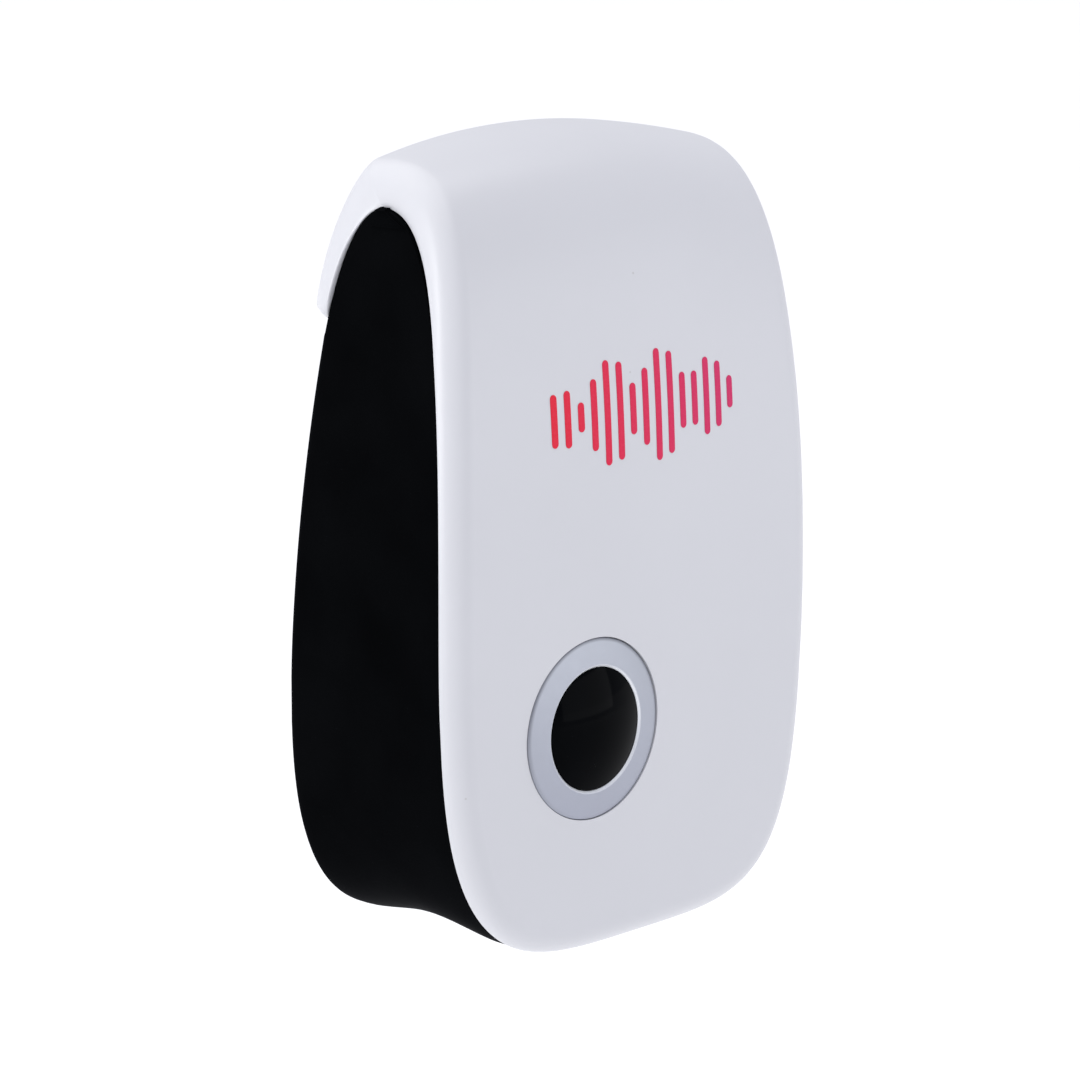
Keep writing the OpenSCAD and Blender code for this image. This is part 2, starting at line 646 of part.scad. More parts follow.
// ---- Mains plug ----
blade_tag = 12.5;
retainer_screw_z = [-8.5, 8.5];
module blade_slot(side, play) {
    translate([side * blade_pitch / 2 - blade_t / 2 - play, -20, plug_z - blade_w / 2 - play])
        cube([blade_t + 2 * play, 30, blade_w + 2 * play]);
}
module plug_base() {
    color([0.06, 0.06, 0.06]) seated() difference() {
        union() {
            rod(0, plug_z, -8.8, -0.6, plug_r);
            translate([0, -0.6, plug_z]) rotate([-90, 0, 0]) cylinder(h = 0.6, r1 = plug_r, r2 = plug_r - 0.6);
            rod(0, plug_z, -10, -8.8, plug_r + 2);
        }
        for (side = [-1, 1]) blade_slot(side, 0.03);
        for (z = retainer_screw_z) rod(0, plug_z + z, -11, -4, 1.12);
    }
}
module plug_blade(side) {
    profile = [
        [-blade_tag, -blade_w / 2], [blade_len - 2.2, -blade_w / 2], [blade_len, -blade_w / 4],
        [blade_len, blade_w / 4], [blade_len - 2.2, blade_w / 2], [-blade_tag, blade_w / 2]
    ];
    translate([side * blade_pitch / 2, 0, plug_z]) difference() {
        rotate([90, 0, 90]) linear_extrude(height = blade_t, center = true) polygon(profile);
        translate([-3, 11.7, 0]) rotate([0, 90, 0]) cylinder(h = 6, r = 1.6);
    }
}
module plug_blade_left() color("khaki") seated() plug_blade(-1);
module plug_blade_right() color("khaki") seated() plug_blade(1);
module plug_retainer() {
    color("dimgray") seated() difference() {
        translate([-11, -12, plug_z - 11]) cube([22, 1.9, 22]);
        for (side = [-1, 1]) blade_slot(side, 0.05);
        for (z = retainer_screw_z) rod(0, plug_z + z, -13, -9, 1.3);
    }
}
module retainer_screws() {
    color("silver") seated()
        for (z = retainer_screw_z)
            translate([0, -12.02, plug_z + z]) rotate([90, 0, 0]) pan_screw(1.1, 2, 1.3, 7);
}
// Leads from the blades' tags to the board's back face
module mains_lead(side) {
    x = side * (blade_pitch / 2 + blade_t / 2 + 0.85);
    wire([[x, -13.4, plug_z - 1], [x + 1.5 * side, -13.4, plug_z + 5],
        [x + 3 * side, -12, plug_z + 14], [x + 3 * side, board_y + board_t + 0.3, plug_z + 16]], 0.8);
}
module mains_lead_brown() color("saddlebrown") seated() mains_lead(1);
module mains_lead_blue() color("royalblue") seated() mains_lead(-1);

front_cover();
rear_housing();
housing_screws();
front_print();
rating_label();
bezel_ring();
dome_lens();
lens_retainer();
light_guide();
transducer_can();
transducer_cone();
piezo_disc();
transducer_base();
transducer_pins();
transducer_gasket();
transducer_lead_red();
transducer_lead_black();
circuit_board();
board_screws();
mains_capacitor();
smoothing_capacitor();
choke_core();
choke_winding();
bridge_rectifier();
control_ic();
drive_transistors();
fusible_resistor();
resistors();
ceramic_capacitors();
indicator_leds();
solder_joints();
plug_base();
plug_blade_left();
plug_blade_right();
plug_retainer();
retainer_screws();
mains_lead_brown();
mains_lead_blue();
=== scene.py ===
"""Looks of a plug-in ultrasonic pest repeller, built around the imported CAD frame.

Shapes are worked out in millimetres in the body's own frame: x to the viewer's right, y from the
wall (negative towards the viewer) and z up from the cover's lower tip. in_frame() turns them into
metres in the frame's own axes, whose origin lies midway between the plug's blades.
"""

import json
import math

import bmesh
import bpy
import numpy as np
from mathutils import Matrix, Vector


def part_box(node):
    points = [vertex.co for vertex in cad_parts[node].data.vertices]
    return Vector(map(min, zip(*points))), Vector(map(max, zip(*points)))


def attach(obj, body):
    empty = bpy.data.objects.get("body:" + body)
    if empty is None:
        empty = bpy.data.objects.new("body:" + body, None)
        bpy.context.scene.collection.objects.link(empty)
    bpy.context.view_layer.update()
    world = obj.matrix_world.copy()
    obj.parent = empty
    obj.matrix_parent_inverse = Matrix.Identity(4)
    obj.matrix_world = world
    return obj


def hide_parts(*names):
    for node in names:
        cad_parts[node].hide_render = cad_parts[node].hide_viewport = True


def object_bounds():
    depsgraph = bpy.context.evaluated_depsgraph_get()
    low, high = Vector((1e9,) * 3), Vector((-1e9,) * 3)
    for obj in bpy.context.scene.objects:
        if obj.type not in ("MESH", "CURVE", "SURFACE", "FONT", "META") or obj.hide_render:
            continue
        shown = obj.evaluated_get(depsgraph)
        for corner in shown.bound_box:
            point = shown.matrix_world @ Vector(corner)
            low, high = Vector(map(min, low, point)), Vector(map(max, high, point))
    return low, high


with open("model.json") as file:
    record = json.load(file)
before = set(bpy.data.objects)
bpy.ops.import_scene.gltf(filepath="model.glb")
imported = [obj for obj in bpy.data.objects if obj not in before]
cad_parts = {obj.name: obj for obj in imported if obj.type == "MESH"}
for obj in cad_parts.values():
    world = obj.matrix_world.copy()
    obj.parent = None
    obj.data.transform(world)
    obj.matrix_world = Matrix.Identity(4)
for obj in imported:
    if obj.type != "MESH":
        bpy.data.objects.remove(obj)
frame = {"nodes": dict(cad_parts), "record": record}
cad_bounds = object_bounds()
MM = 0.001

# ---------------------------------------------------------------- sizes from the frame, in mm


def box_mm(node):
    """A node's lowest and highest corners in mm."""
    low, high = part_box(node)
    return np.array(low) / MM, np.array(high) / MM


cover_low, cover_high = box_mm("front_cover")
ring_low, ring_high = box_mm("bezel_ring")
dome_low, _ = box_mm("dome_lens")
label_low, label_high = box_mm("rating_label")
plug_low, plug_high = box_mm("plug_base")
print_low, print_high = box_mm("front_print")
DRAWN_TALL = 105
TIP_Z = cover_low[2]
TALL = (cover_high[2] - cover_low[2]) / DRAWN_TALL
BODY_W = cover_high[0] - cover_low[0]
WALL = 2.0
RING_RISE = 0.6
BEZEL_X = (ring_low[0] + ring_high[0]) / 2
BEZEL_Y = ring_low[1] + RING_RISE
BEZEL_Z = (ring_low[2] + ring_high[2]) / 2 - TIP_Z
BEZEL_CENTRE = (BEZEL_X, BEZEL_Y, BEZEL_Z)
BEZEL_R = (ring_high[0] - ring_low[0]) / 2
DOME_EDGE = 0.45
DOME_RISE = BEZEL_Y - dome_low[1] - DOME_EDGE
DOME_R = 7.95
FLANGE_W = 2
PLUG_R = (plug_high[0] - plug_low[0]) / 2 - FLANGE_W
PLUG_Z = -TIP_Z
PLUG_CENTRE = (0, 0, PLUG_Z)
TO_VIEWER = (0, -1, 0)
TO_WALL = (0, 1, 0)

# ---------------------------------------------------------------- side view of the cover, in mm

FRONT_CURVE = [(-36.2, 0), (-34.1, 28), (-37.3, 54.2), (-33.9, 82)]
CROWN_CURVE = [(-33.9, 82), (-31.6, 100.6), (-25.2, 105), (-13.7, 105)]
TAIL_CURVE = [(-13.7, 105), (-8.2, 105), (-4, 91.6), (-5.2, 80)]
RIM_FRONT_CURVE = [(-32.5, 0), (-30.2, 28), (-33.7, 54.2), (-29.2, 79)]
RIM_CROWN_CURVE = [(-29.2, 79), (-26.7, 93), (-21.9, 96.2), (-17.9, 96.2)]
RIM_TAIL_CURVE = [(-17.9, 96.2), (-17.2, 96.2), (-12.4, 95.6), (-9.45, 80.2)]
CURVE_STEPS = 160


def bezier(points, t):
    """Points [y, z] on a cubic curve, whose heights stretch with the cover's height."""
    p = np.array(points, float) * (1, TALL)
    t = np.asarray(t, float)[:, None]
    return (1 - t) ** 3 * p[0] + 3 * t * (1 - t) ** 2 * p[1] + 3 * t * t * (1 - t) * p[2] + t**3 * p[3]


def joined(curves):
    """One line of points through several curves, end to end."""
    t = np.arange(CURVE_STEPS + 1) / CURVE_STEPS
    return np.vstack([bezier(curves[0], t[:1])] + [bezier(c, t[1:]) for c in curves])


side_curve = joined([FRONT_CURVE, CROWN_CURVE, TAIL_CURVE])
rim_curve = joined([RIM_FRONT_CURVE, RIM_CROWN_CURVE, RIM_TAIL_CURVE])
run = np.r_[0, np.cumsum(np.hypot(*np.diff(side_curve, axis=0).T))]
ARCH_RUN = run[2 * CURVE_STEPS]
TAIL_RUN = run[-1]
NORMAL_REACH = 1.5


def along(curve, s):
    """Points of a side-view curve at lengths s along the cover's side view."""
    return np.stack([np.interp(s, run, curve[:, 0]), np.interp(s, run, curve[:, 1])], -1)


def face_at(s):
    return along(side_curve, s)


def face_normal(s):
    ahead = face_at(np.minimum(s + NORMAL_REACH, TAIL_RUN))
    d = ahead - face_at(np.maximum(s - NORMAL_REACH, 0))
    return np.stack([-d[..., 1], d[..., 0]], -1) / np.linalg.norm(d, axis=-1)[..., None]


def smoothstep(t):
    t = np.clip(t, 0, 1)
    return t * t * (3 - 2 * t)


BELLY_Z = 41.7 * TALL
TAPER_SPAN = 50
FOOT_TAPER = 6.7
HEAD_TAPER = 2.85
FOOT_CROWN = 1
CROWN_RISE = 2.8
CROWN_FALL = 3


def half_width(z):
    """Half the body's width, widest at the belly and narrower towards the foot and the head."""
    taper = np.where(z < BELLY_Z, FOOT_TAPER, HEAD_TAPER)
    return BODY_W / 2 - taper * ((z - BELLY_Z) / TAPER_SPAN) ** 2


def crown_drop(s):
    """How far the face falls from its middle line to its side, which is most at the arch."""
    front = FOOT_CROWN + CROWN_RISE * (s / ARCH_RUN) ** 4
    past = (s - ARCH_RUN) / (TAIL_RUN - ARCH_RUN)
    return np.where(s < ARCH_RUN, front, FOOT_CROWN + CROWN_RISE - CROWN_FALL * smoothstep(past))


def crowned(x, s, depth):
    """The crowned face as [y, z], set in by a depth."""
    p = face_at(s)
    inset = depth + crown_drop(s) * (x / half_width(p[..., 1])) ** 2
    return p - face_normal(s) * np.asarray(inset)[..., None]


def on_face(x, s, depth):
    """Points [x, y, z] on the crowned face, set in by a depth."""
    return np.concatenate([np.asarray(x, float)[..., None], crowned(x, s, depth)], -1)


# ---------------------------------------------------------------- outlines

FOOT_LEN = 34.7
FOOT_POWER = 4.2
TAIL_LEN = 5.0
TAIL_POWER = 4.2
EDGE_R = 3.5
COVER_FOOT_STEPS = 56
COVER_SIDE_STEPS = 170
COVER_TAIL_STEPS = 28


def foot_quarter(steps, width_at):
    """The rounded foot, from its tip to the side, as a quarter of a superellipse."""
    a = np.radians(90 - 90 * np.arange(steps) / steps)
    s = FOOT_LEN * (1 - np.abs(np.sin(a)) ** (2 / FOOT_POWER))
    return np.stack([width_at(s) * np.abs(np.cos(a)) ** (2 / FOOT_POWER), s], -1)


def cover_half():
    """Right half of the cover laid flat: [x, length along the side view]."""

    def width_at(s):
        return half_width(face_at(s)[:, 1])

    foot = foot_quarter(COVER_FOOT_STEPS, width_at)
    side_s = np.linspace(FOOT_LEN, TAIL_RUN - TAIL_LEN, COVER_SIDE_STEPS)
    side = np.stack([width_at(side_s), side_s], -1)
    a = np.radians(90 * np.arange(1, COVER_TAIL_STEPS + 1) / COVER_TAIL_STEPS)
    tail_s = TAIL_RUN - TAIL_LEN * (1 - np.sin(a) ** (2 / TAIL_POWER))
    tail_x = width_at(tail_s) * np.maximum(np.cos(a), 0) ** (2 / TAIL_POWER)
    tail_x[-1] = 0
    return np.vstack([foot, side, np.stack([tail_x, tail_s], -1)])


def ring(half):
    """Closed ring of points from the right half of an outline."""
    return np.vstack([half, (half[-2:0:-1]) * (-1, 1)])


def ring_normal(points):
    d = np.roll(points, -1, 0) - np.roll(points, 1, 0)
    return np.stack([d[:, 1], -d[:, 0]], -1) / np.linalg.norm(d, axis=1)[:, None]


def fill_rows(points, columns):
    """Points across a ring, row by row, without the ring's own points."""
    n = len(points) // 2
    right = points[1:n]
    left = points[:n:-1]
    t = (np.arange(1, columns) / columns)[None, :, None]
    return right[:, None] * (1 - t) + left[:, None] * t


# ---------------------------------------------------------------- mesh helpers

WELD = 1e-7
ON_AXIS = 1e-6


def in_frame(points):
    """Turns millimetres in the body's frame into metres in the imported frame."""
    return (np.asarray(points, float) + (0, 0, TIP_Z)) * MM


def new_piece(name, vertices, faces):
    mesh = bpy.data.meshes.new(name)
    mesh.from_pydata(in_frame(vertices).tolist(), [], faces)
    mesh.validate()
    piece = bpy.data.objects.new(name, mesh)
    bpy.context.scene.collection.objects.link(piece)
    return piece


def tidy(piece, sharp_degrees=32):
    """Welds, turns the faces outward, shades smooth and keeps real edges sharp."""
    work = bmesh.new()
    work.from_mesh(piece.data)
    bmesh.ops.remove_doubles(work, verts=work.verts, dist=WELD)
    bmesh.ops.recalc_face_normals(work, faces=work.faces)
    for face in work.faces:
        face.smooth = True
    for edge in work.edges:
        edge.smooth = edge.calc_face_angle(math.pi) < math.radians(sharp_degrees)
    work.to_mesh(piece.data)
    work.free()
    return piece


def combined(piece, other, operation):
    """Applies a boolean with another piece, which is then removed."""
    modifier = piece.modifiers.new("combine", "BOOLEAN")
    modifier.operation = operation
    modifier.solver = "EXACT"
    modifier.object = other
    graph = bpy.context.evaluated_depsgraph_get()
    result = bpy.data.meshes.new_from_object(piece.evaluated_get(graph))
    piece.modifiers.clear()
    piece.data = result
    bpy.data.objects.remove(other)
    return piece


def one_piece(pieces):
    """Puts the meshes of several pieces into the first, and removes the others."""
    work = bmesh.new()
    for piece in pieces:
        work.from_mesh(piece.data)
    work.to_mesh(pieces[0].data)
    work.free()
    for piece in pieces[1:]:
        bpy.data.objects.remove(piece)
    return pieces[0]


def band(faces, count, a, b):
    """Adds the quads between two closed rings of points, which start at a and b."""
    for j in range(count):
        k = (j + 1) % count
        faces.append((a + j, a + k, b + k, b + j))


def closed_shell(name, outer_rings, outer_fill, inner_rings, inner_fill):
    """A cup-like shell: rings run from the rim inwards, and each skin ends in a filled ring.

    Rows of points fill the ring from side to side. At its two ends, where rows would crowd together,
    the outermost row is joined straight to as many points of the ring as it has itself.
    """
    count = len(outer_rings[0])
    n = count // 2
    vertices = []
    faces = []

    def add(points):
        vertices.append(np.asarray(points).reshape(-1, 3))
        return sum(len(v) for v in vertices) - len(vertices[-1])

    def skin(rings, fill):
        starts = [add(r) for r in rings]
        for a, b in zip(starts, starts[1:]):
            band(faces, count, a, b)
        columns = fill.shape[1] + 1
        end = columns // 2
        last = starts[-1]
        first = add(fill[end - 1 : n - end])

        def index(i, c):
            if i < end:
                return last + (end - c) % count
            if i > n - end:
                return last + n - end + c
            if c == 0:
                return last + i
            if c == columns:
                return last + count - i
            return first + (i - end) * (columns - 1) + c - 1

        for i in range(end - 1, n - end + 1):
            for c in range(columns):
                corners = [index(i, c), index(i + 1, c), index(i + 1, c + 1), index(i, c + 1)]
                corners = list(dict.fromkeys(corners))
                if len(corners) > 2:
                    faces.append(tuple(corners))
        return starts[0]

    a = skin(outer_rings, outer_fill)
    b = skin(inner_rings, inner_fill)
    band(faces, count, a, b)
    return tidy(new_piece(name, np.vstack(vertices), faces))


def lathe(name, profile, centre, axis, steps=192):
    """A closed solid turned round an axis. The profile is [radius, height along the axis]."""
    profile = np.asarray(profile, float)
    up = Vector(axis).normalized()
    side = up.orthogonal().normalized()
    other = up.cross(side)
    a = np.arange(steps) * 2 * math.pi / steps
    circle = np.cos(a)[:, None] * np.array(side) + np.sin(a)[:, None] * np.array(other)
    across = profile[:, None, :1] * circle[None]
    vertices = across + profile[:, None, 1:] * np.array(up) + np.array(centre)
    faces = []
    for i in range(len(profile)):
        j = (i + 1) % len(profile)
        if profile[i, 0] > ON_AXIS or profile[j, 0] > ON_AXIS:
            band(faces, steps, i * steps, j * steps)
    return tidy(new_piece(name, vertices.reshape(-1, 3), faces))


def arc(centre, radius, start, stop, steps):
    """Points [r, z] on an arc, with its angles in degrees."""
    a = np.radians(np.linspace(start, stop, steps + 1))
    return np.stack([centre[0] + radius * np.cos(a), centre[1] + radius * np.sin(a)], -1)


def finished(piece, material, slot, *nodes):
    """Gives a piece its material and lets it stand for its CAD nodes; the slot argument is not used."""
    piece.data.materials.clear()
    piece.data.materials.append(material)
    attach(piece, "root")
    if nodes:
        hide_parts(*nodes)
    return piece


# ---------------------------------------------------------------- the cover

RIM_EDGE_R = 0.35
SEAT_PLAY = 0.05
SEAT_DEPTH = 0.85
SEAT_BORE_R = 10
SEAT_REACH = 6
TAIL_SIDE_W = 4
TAIL_THINNING = 0.58
COVER_EDGE_RINGS = 13
COVER_INNER_RINGS = 7
COVER_COLUMNS = 56


def tail_share(x, s):
    """Share of the rim's depth, which is less across the tail's end, so that the tail is thin there."""
    inward = (half_width(face_at(s)[:, 1]) - np.abs(x)) / TAIL_SIDE_W
    return np.where(s < ARCH_RUN, 1, 1 - TAIL_THINNING * smoothstep(inward))


def set_in(outline, inset):
    """The cover's flat outline set in, mitred at the tail's corners, which are tighter than the inset."""
    inset = np.broadcast_to(np.ravel(inset), len(outline))
    x, s = (outline - inset[:, None] * ring_normal(outline)).T
    s = np.minimum(s, TAIL_RUN - inset)
    side = half_width(face_at(s)[:, 1]) - inset
    return np.column_stack([np.clip(x, -side, side), s])


def cover_ring(outline, inset, depth_share, skin):
    """A ring of the cover, set in from its outline. depth_share is 1 on the rim and 0 on the face."""
    x, s = outline.T
    top = crowned(x, s, 0)
    rim = top + (along(rim_curve, s) - top) * tail_share(x, s)[:, None]
    moved = set_in(outline, inset)
    share = np.asarray(depth_share).reshape(-1, 1)
    yz = crowned(moved[:, 0], moved[:, 1], skin) + (rim - crowned(x, s, skin)) * share
    return np.column_stack([moved[:, 0], yz])


def make_cover():
    outline = ring(cover_half())
    x, s = outline.T
    depth = np.linalg.norm(along(rim_curve, s) - crowned(x, s, 0), axis=1) * tail_share(x, s)
    outer = []
    for a in np.radians([90, 60, 30, 0]):
        share = 1 - RIM_EDGE_R * (1 - math.sin(a)) / depth
        outer.append(cover_ring(outline, RIM_EDGE_R * (1 - math.cos(a)), share, 0))
    for q in np.radians(np.linspace(10, 90, COVER_EDGE_RINGS)):
        outer.append(cover_ring(outline, EDGE_R * (1 - math.cos(q)), 1 - math.sin(q), 0))
    inner = []
    for q in np.radians(np.linspace(0, 90, COVER_INNER_RINGS)):
        inset = WALL + (EDGE_R - WALL) * (1 - math.cos(q))
        inner.append(cover_ring(outline, inset, 1 - math.sin(q), WALL))
    fill = fill_rows(set_in(outline, EDGE_R), COVER_COLUMNS)
    piece = closed_shell(
        "cover",
        outer,
        on_face(fill[..., 0], fill[..., 1], 0),
        inner,
        on_face(fill[..., 0], fill[..., 1], WALL),
    )
    seat_r = BEZEL_R + SEAT_PLAY
    profile = [
        (0, SEAT_REACH), (seat_r, SEAT_REACH), (seat_r, -SEAT_DEPTH),
        (SEAT_BORE_R, -SEAT_DEPTH), (SEAT_BORE_R, -SEAT_REACH), (0, -SEAT_REACH),
    ]
    combined(piece, lathe("seat", profile, BEZEL_CENTRE, TO_VIEWER), "DIFFERENCE")
    return tidy(piece)


# ---------------------------------------------------------------- the housing

HOUSING_GAP = 0.12
BACK_BOW = (-1.64, -0.002, -0.00103)
BACK_EDGE_R = 1.8
WAIST = 1.5
SADDLE_START = -29.4
SADDLE_SPAN = 24.7
SADDLE_POWER = 1.3
REVEAL = 0.5
FOOT_REVEAL = 0.1
REVEAL_SPAN = 14
STEP_LOW = 79.2 * TALL
STEP_HIGH = 80.2 * TALL
ARCH_TOP = rim_curve[2 * CURVE_STEPS][1] - HOUSING_GAP


def under_tail(z):
    """Runs from 0 below the cover's tail to 1 under it."""
    return smoothstep((z - STEP_LOW) / (STEP_HIGH - STEP_LOW))


def back_y(z):
    """The housing's back: a gentle bow, then the tail's inner line under the cover."""
    plain = BACK_BOW[0] + BACK_BOW[1] * z + BACK_BOW[2] * z * z
    tail = rim_curve[2 * CURVE_STEPS :]
    under = np.interp(z, tail[::-1, 1], tail[::-1, 0]) - HOUSING_GAP
    return plain + (np.minimum(under, plain) - plain) * under_tail(z)


def front_y(z):
    """The housing's front edge, just behind the cover's rim."""
    front = rim_curve[: 2 * CURVE_STEPS + 1]
    return np.interp(z, front[:, 1], front[:, 0]) + HOUSING_GAP


SCREWS_AT = [(x, z) for x in (-24, 24) for z in (20, 72)]
SPLIT_Y = -16
SCREW_SEAT_Y = -13
HOLE_END_Y = -20
POST_R = 4.4
POST_STEPS = 64
POST_SUNK = 1
COLLAR_W = 3.2
COLLAR_Y = -8.7
HEAD_ROOM_R = 2.9
SHANK_ROOM_R = 1.45
SCREW_BEVEL = (0.3, 0.5)
PLUG_BEVEL = (0.35, 0.85)
PLUG_PLAY = 0.1


def post_profile(radius, y, z):
    """A solid round post from y to just inside the back."""
    end = back_y(z) - POST_SUNK
    return [(0, y), (radius, y), (radius, end), (0, end)]


def hole_mouth(radius, z, bevel):
    """The open end of a hole, with a bevel that starts inside the back and ends outside it."""
    inside, outside = bevel
    mouth = back_y(z)
    wide = radius + inside + outside
    return [(radius, mouth - inside), (wide, mouth + outside), (0, mouth + outside)]


def screw_hole(x, z):
    """Room for a screw's head and shank."""
    shank = [(0, HOLE_END_Y), (SHANK_ROOM_R, HOLE_END_Y), (SHANK_ROOM_R, SCREW_SEAT_Y)]
    head = [(HEAD_ROOM_R, SCREW_SEAT_Y)] + hole_mouth(HEAD_ROOM_R, z, SCREW_BEVEL)
    return lathe("screw_hole", shank + head, (x, 0, z), TO_WALL, POST_STEPS)


def plug_hole():
    r = PLUG_R + PLUG_PLAY
    profile = [(0, HOLE_END_Y), (r, HOLE_END_Y)] + hole_mouth(r, PLUG_Z, PLUG_BEVEL)
    return lathe("plug_hole", profile, PLUG_CENTRE, TO_WALL)


def back_edge_r(z):
    """Radius of the back edge, which is sharp where the cover's tail covers it."""
    return BACK_EDGE_R * (1 - under_tail(z))


def reveal_at(z):
    """How far the housing stands in from the cover's edge, which is least under the foot."""
    return FOOT_REVEAL + (REVEAL - FOOT_REVEAL) * smoothstep(z / REVEAL_SPAN)


def waist_lift(y, z):
    """How far the saddle in the underside lifts a point, which fades out up the sides."""
    t = np.clip((y - SADDLE_START) / SADDLE_SPAN, 0, 1)
    fade = np.clip(1 - z / FOOT_LEN, 0, 1) ** 2
    return WAIST * np.maximum(np.sin(math.pi * t), 0) ** SADDLE_POWER * fade


HOUSING_FOOT_STEPS = 64
HOUSING_SIDE_STEPS = 130
HOUSING_TOP_STEPS = 20
HOUSING_OUTER_RINGS = 30
HOUSING_EDGE_RINGS = 9
HOUSING_INNER_RINGS = 12
HOUSING_COLUMNS = 44


def housing_half():
    """Right half of the housing's front view: [x, z], up to the arch and across to the middle."""
    foot = foot_quarter(HOUSING_FOOT_STEPS, half_width)
    top = ARCH_TOP + REVEAL
    rise = np.sin(np.linspace(0, math.pi / 2, HOUSING_SIDE_STEPS))
    z = FOOT_LEN + (top - FOOT_LEN) * rise
    across = half_width(top) * np.linspace(1, 0, HOUSING_TOP_STEPS)[1:]
    level = np.full(len(across), top)
    return np.vstack([foot, np.stack([half_width(z), z], -1), np.stack([across, level], -1)])


def housing_ring(outline, inset, share, back_inset):
    """A ring set in from the outline; share runs from 0 on the front edge to 1 on the back face."""
    p = outline - np.reshape(inset, (-1, 1)) * ring_normal(outline)
    front = front_y(np.minimum(p[:, 1], ARCH_TOP))
    back = np.maximum(back_y(p[:, 1]) - back_inset, front)
    y = front + (back - front) * share
    return np.column_stack([p[:, 0], y, p[:, 1] + waist_lift(y, p[:, 1])])


def make_housing():
    outline = ring(housing_half())
    radius = back_edge_r(outline[:, 1])
    side = reveal_at(outline[:, 1])
    outer_shares = np.linspace(0, 1, HOUSING_OUTER_RINGS)
    inner_shares = np.linspace(0, 1, HOUSING_INNER_RINGS)
    outer = [housing_ring(outline, side, share, radius) for share in outer_shares]
    for a in np.radians(np.linspace(0, 90, HOUSING_EDGE_RINGS))[1:]:
        inset = side + radius * (1 - math.cos(a))
        outer.append(housing_ring(outline, inset, 1, radius * (1 - math.sin(a))))
    inner = [housing_ring(outline, side + WALL, share, WALL) for share in inner_shares]

    def fill(inset, back_inset):
        flat = outline - inset[:, None] * ring_normal(outline)
        rows = fill_rows(flat, HOUSING_COLUMNS)
        y = back_y(rows[..., 1]) - back_inset
        return np.stack([rows[..., 0], y, rows[..., 1] + waist_lift(y, rows[..., 1])], -1)

    piece = closed_shell("housing", outer, fill(side + radius, 0), inner, fill(side + WALL, WALL))
    posts = [
        lathe("post", post_profile(POST_R, SPLIT_Y, z), (x, 0, z), TO_WALL, POST_STEPS)
        for x, z in SCREWS_AT
    ]
    collar = post_profile(PLUG_R + COLLAR_W, COLLAR_Y, PLUG_Z)
    posts.append(lathe("collar", collar, PLUG_CENTRE, TO_WALL))
    combined(piece, one_piece(posts), "UNION")
    holes = [screw_hole(x, z) for x, z in SCREWS_AT]
    holes.append(plug_hole())
    combined(piece, one_piece(holes), "DIFFERENCE")
    return tidy(piece)


# ---------------------------------------------------------------- bezel and dome

RING_STEPS = 256
RING_FLOOR = -SEAT_DEPTH + 0.02
RING_EDGE_R = 0.25
RING_EDGE_LOW = -0.1
LIP_EDGE_R = 0.12
LIP_W = 0.32
LIP_BEVEL = 0.27
LIP_FLOOR = -0.7
TUBE_IN_R = 8.8
TUBE_OUT_R = 9.9
TUBE_END = -4
DOME_PLAY = 0.1
DOME_STEPS = 49
DOME_SKIN = 0.9
DOME_FLANGE_R = 8.6
DOME_FLANGE_TOP = -0.75
DOME_FLANGE_END = -1.55


def make_ring():
    """Bezel: a shallow cone with rounded edges, and a tube behind it."""
    inner = DOME_R + DOME_PLAY
    profile = np.vstack([
        [(BEZEL_R, RING_FLOOR)],
        arc((BEZEL_R - RING_EDGE_R, RING_EDGE_LOW), RING_EDGE_R, 0, 80, 8),
        arc((inner + LIP_W, RING_RISE - LIP_EDGE_R), LIP_EDGE_R, 80, 135, 4),
        [(inner, RING_RISE - LIP_BEVEL), (inner, LIP_FLOOR), (TUBE_IN_R, LIP_FLOOR)],
        [(TUBE_IN_R, TUBE_END), (TUBE_OUT_R, TUBE_END), (TUBE_OUT_R, RING_FLOOR)],
    ])
    return lathe("bezel", profile, BEZEL_CENTRE, TO_VIEWER, RING_STEPS)


def make_dome():
    """A thin spherical cap with a flange that the bezel holds."""
    ball = (DOME_R**2 + DOME_RISE**2) / (2 * DOME_RISE)
    r = DOME_R * np.sin(np.linspace(0, math.pi / 2, DOME_STEPS))
    top = np.stack([r, DOME_EDGE + np.sqrt(ball**2 - r**2) - ball + DOME_RISE], -1)
    inner_r = DOME_R - DOME_SKIN
    inner = np.stack([r[::-1] * inner_r / DOME_R, top[::-1, 1] - DOME_SKIN], -1)
    flange = [(DOME_R, DOME_FLANGE_TOP), (DOME_FLANGE_R, DOME_FLANGE_TOP)]
    flange += [(DOME_FLANGE_R, DOME_FLANGE_END), (inner_r, DOME_FLANGE_END)]
    return lathe("dome", np.vstack([top, flange, inner]), BEZEL_CENTRE, TO_VIEWER)


# ---------------------------------------------------------------- label, plug base and mark

LABEL_STEPS = 61
LABEL_COLUMNS = 12
LABEL_POWER = 9
LABEL_BACK = 0.1
LABEL_FRONT = 0.02
FLANGE_FRONT_Y = -10
FLANGE_BACK_Y = -8.8
PLUG_EDGE_R = 0.6


